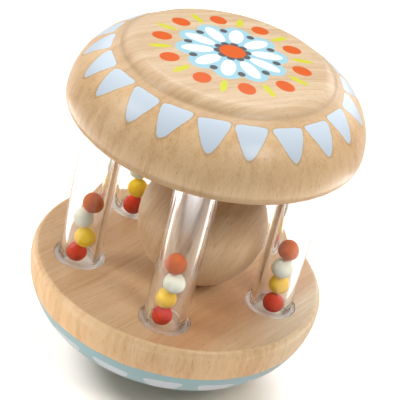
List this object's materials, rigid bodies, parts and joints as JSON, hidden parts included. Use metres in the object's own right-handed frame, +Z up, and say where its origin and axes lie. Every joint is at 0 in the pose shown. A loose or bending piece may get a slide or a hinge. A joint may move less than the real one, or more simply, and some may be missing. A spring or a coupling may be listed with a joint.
{
  "type": "wobble rattle",
  "caption": "Rounded wooden wobble rattle: a turned base and top joined by clear tubes with sliding coloured pellets, caging a loose wooden ball.",
  "frame": {"origin": "middle of the flat foot under the base", "axes": "+Z up along the turning axis, -Y towards the first tube, +X to the right seen from there"},
  "size_m": [0.0838, 0.0838, 0.0985],
  "materials": {
    "beech": "smooth satin lacquer",
    "clear_plastic": "clear and glossy",
    "red_plastic": "satin",
    "yellow_plastic": "satin",
    "cream_plastic": "satin",
    "orange_plastic": "satin"
  },
  "bodies": {
    "frame": {"base": "beech", "top": "beech", "tube_1": "clear_plastic", "stopper_1": "clear_plastic", "tube_2": "clear_plastic", "stopper_2": "clear_plastic", "tube_3": "clear_plastic", "stopper_3": "clear_plastic", "tube_4": "clear_plastic", "stopper_4": "clear_plastic", "tube_5": "clear_plastic", "stopper_5": "clear_plastic"},
    "ball": {"ball": "beech"},
    "red_pellet_1": {"red_pellet_1": "red_plastic"},
    "yellow_pellet_1": {"yellow_pellet_1": "yellow_plastic"},
    "cream_pellet_1": {"cream_pellet_1": "cream_plastic"},
    "orange_pellet_1": {"orange_pellet_1": "orange_plastic"},
    "red_pellet_2": {"red_pellet_2": "red_plastic"},
    "yellow_pellet_2": {"yellow_pellet_2": "yellow_plastic"},
    "cream_pellet_2": {"cream_pellet_2": "cream_plastic"},
    "orange_pellet_2": {"orange_pellet_2": "orange_plastic"},
    "red_pellet_3": {"red_pellet_3": "red_plastic"},
    "yellow_pellet_3": {"yellow_pellet_3": "yellow_plastic"},
    "cream_pellet_3": {"cream_pellet_3": "cream_plastic"},
    "orange_pellet_3": {"orange_pellet_3": "orange_plastic"},
    "red_pellet_4": {"red_pellet_4": "red_plastic"},
    "yellow_pellet_4": {"yellow_pellet_4": "yellow_plastic"},
    "cream_pellet_4": {"cream_pellet_4": "cream_plastic"},
    "orange_pellet_4": {"orange_pellet_4": "orange_plastic"},
    "red_pellet_5": {"red_pellet_5": "red_plastic"},
    "yellow_pellet_5": {"yellow_pellet_5": "yellow_plastic"},
    "cream_pellet_5": {"cream_pellet_5": "cream_plastic"},
    "orange_pellet_5": {"orange_pellet_5": "orange_plastic"}
  },
  "joints": [
    {"name": "ball_roll", "type": "slide", "parent": "frame", "child": "ball", "axis": [-0.5878, 0.809, 0], "range_m": [0, 0.0107]},
    {"name": "orange_pellet_1_slide", "type": "slide", "parent": "frame", "child": "orange_pellet_1", "axis": [0, 0, 1], "range_m": [0, 0.026]},
    {"name": "cream_pellet_1_slide", "type": "slide", "parent": "frame", "child": "cream_pellet_1", "axis": [0, 0, 1], "range_m": [0, 0.026]},
    {"name": "yellow_pellet_1_slide", "type": "slide", "parent": "frame", "child": "yellow_pellet_1", "axis": [0, 0, 1], "range_m": [0, 0.026]},
    {"name": "red_pellet_1_slide", "type": "slide", "parent": "frame", "child": "red_pellet_1", "axis": [0, 0, 1], "range_m": [0, 0.026]},
    {"name": "orange_pellet_2_slide", "type": "slide", "parent": "frame", "child": "orange_pellet_2", "axis": [0, 0, 1], "range_m": [0, 0.026]},
    {"name": "cream_pellet_2_slide", "type": "slide", "parent": "frame", "child": "cream_pellet_2", "axis": [0, 0, 1], "range_m": [0, 0.026]},
    {"name": "yellow_pellet_2_slide", "type": "slide", "parent": "frame", "child": "yellow_pellet_2", "axis": [0, 0, 1], "range_m": [0, 0.026]},
    {"name": "red_pellet_2_slide", "type": "slide", "parent": "frame", "child": "red_pellet_2", "axis": [0, 0, 1], "range_m": [0, 0.026]},
    {"name": "orange_pellet_3_slide", "type": "slide", "parent": "frame", "child": "orange_pellet_3", "axis": [0, 0, 1], "range_m": [0, 0.026]},
    {"name": "cream_pellet_3_slide", "type": "slide", "parent": "frame", "child": "cream_pellet_3", "axis": [0, 0, 1], "range_m": [0, 0.026]},
    {"name": "yellow_pellet_3_slide", "type": "slide", "parent": "frame", "child": "yellow_pellet_3", "axis": [0, 0, 1], "range_m": [0, 0.026]},
    {"name": "red_pellet_3_slide", "type": "slide", "parent": "frame", "child": "red_pellet_3", "axis": [0, 0, 1], "range_m": [0, 0.026]},
    {"name": "orange_pellet_4_slide", "type": "slide", "parent": "frame", "child": "orange_pellet_4", "axis": [0, 0, 1], "range_m": [0, 0.026]},
    {"name": "cream_pellet_4_slide", "type": "slide", "parent": "frame", "child": "cream_pellet_4", "axis": [0, 0, 1], "range_m": [0, 0.026]},
    {"name": "yellow_pellet_4_slide", "type": "slide", "parent": "frame", "child": "yellow_pellet_4", "axis": [0, 0, 1], "range_m": [0, 0.026]},
    {"name": "red_pellet_4_slide", "type": "slide", "parent": "frame", "child": "red_pellet_4", "axis": [0, 0, 1], "range_m": [0, 0.026]},
    {"name": "orange_pellet_5_slide", "type": "slide", "parent": "frame", "child": "orange_pellet_5", "axis": [0, 0, 1], "range_m": [0, 0.026]},
    {"name": "cream_pellet_5_slide", "type": "slide", "parent": "frame", "child": "cream_pellet_5", "axis": [0, 0, 1], "range_m": [0, 0.026]},
    {"name": "yellow_pellet_5_slide", "type": "slide", "parent": "frame", "child": "yellow_pellet_5", "axis": [0, 0, 1], "range_m": [0, 0.026]},
    {"name": "red_pellet_5_slide", "type": "slide", "parent": "frame", "child": "red_pellet_5", "axis": [0, 0, 1], "range_m": [0, 0.026]}
  ],
  "couplings": [
    {"joint": "cream_pellet_1_slide", "follows": "orange_pellet_1_slide", "ratio": 1},
    {"joint": "yellow_pellet_1_slide", "follows": "orange_pellet_1_slide", "ratio": 1},
    {"joint": "red_pellet_1_slide", "follows": "orange_pellet_1_slide", "ratio": 1},
    {"joint": "cream_pellet_2_slide", "follows": "orange_pellet_2_slide", "ratio": 1},
    {"joint": "yellow_pellet_2_slide", "follows": "orange_pellet_2_slide", "ratio": 1},
    {"joint": "red_pellet_2_slide", "follows": "orange_pellet_2_slide", "ratio": 1},
    {"joint": "cream_pellet_3_slide", "follows": "orange_pellet_3_slide", "ratio": 1},
    {"joint": "yellow_pellet_3_slide", "follows": "orange_pellet_3_slide", "ratio": 1},
    {"joint": "red_pellet_3_slide", "follows": "orange_pellet_3_slide", "ratio": 1},
    {"joint": "cream_pellet_4_slide", "follows": "orange_pellet_4_slide", "ratio": 1},
    {"joint": "yellow_pellet_4_slide", "follows": "orange_pellet_4_slide", "ratio": 1},
    {"joint": "red_pellet_4_slide", "follows": "orange_pellet_4_slide", "ratio": 1},
    {"joint": "cream_pellet_5_slide", "follows": "orange_pellet_5_slide", "ratio": 1},
    {"joint": "yellow_pellet_5_slide", "follows": "orange_pellet_5_slide", "ratio": 1},
    {"joint": "red_pellet_5_slide", "follows": "orange_pellet_5_slide", "ratio": 1}
  ]
}
